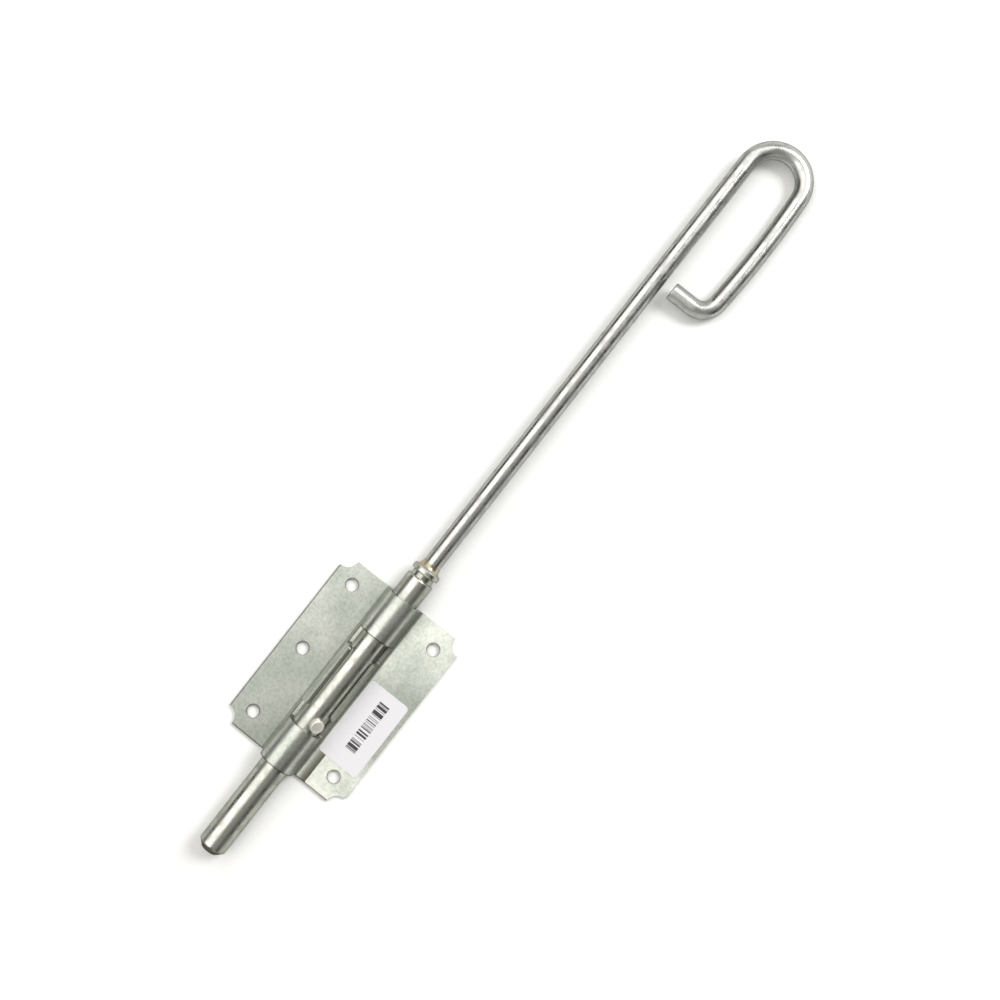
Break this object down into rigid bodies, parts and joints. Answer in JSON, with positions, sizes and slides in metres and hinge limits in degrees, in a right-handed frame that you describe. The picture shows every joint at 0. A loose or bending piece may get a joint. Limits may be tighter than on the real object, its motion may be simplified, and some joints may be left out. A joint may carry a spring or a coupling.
{
  "type": "twist-lock barrel bolt",
  "caption": "Long-handled round bolt that slides in loops pressed from a screw-on plate; turning its bent rod handle swings a stud behind a lug to lock it.",
  "frame": {"origin": "centre of the screw-hole pattern on the plate's mounting face", "axes": "+Z out of the door, +Y along the bolt towards the handle, +X to the side where the handle loop lies"},
  "size_m": [0.08, 0.4862, 0.0188],
  "materials": {
    "zinc_sheet": "satin zinc plated sheet",
    "zinc_bar": "bright zinc plated bar",
    "zinc_rod": "bright zinc plated rod",
    "zinc_weld": "zinc plated weld with a yellowish tint"
  },
  "bodies": {
    "plate": {"mounting_plate": "zinc_sheet"},
    "slider": {"weld_collar": "zinc_weld"},
    "bolt": {"bolt": "zinc_bar", "locking_stud": "zinc_bar", "handle_rod": "zinc_rod"}
  },
  "joints": [
    {"name": "bolt_slide", "type": "slide", "parent": "plate", "child": "slider", "axis": [0, 1, 0], "range_m": [0, 0.0495]},
    {"name": "bolt_twist", "type": "hinge", "parent": "slider", "child": "bolt", "pos_m": [0, 0.0722, 0.0085], "axis": [0, -1, 0], "range_deg": [0, 125]}
  ]
}
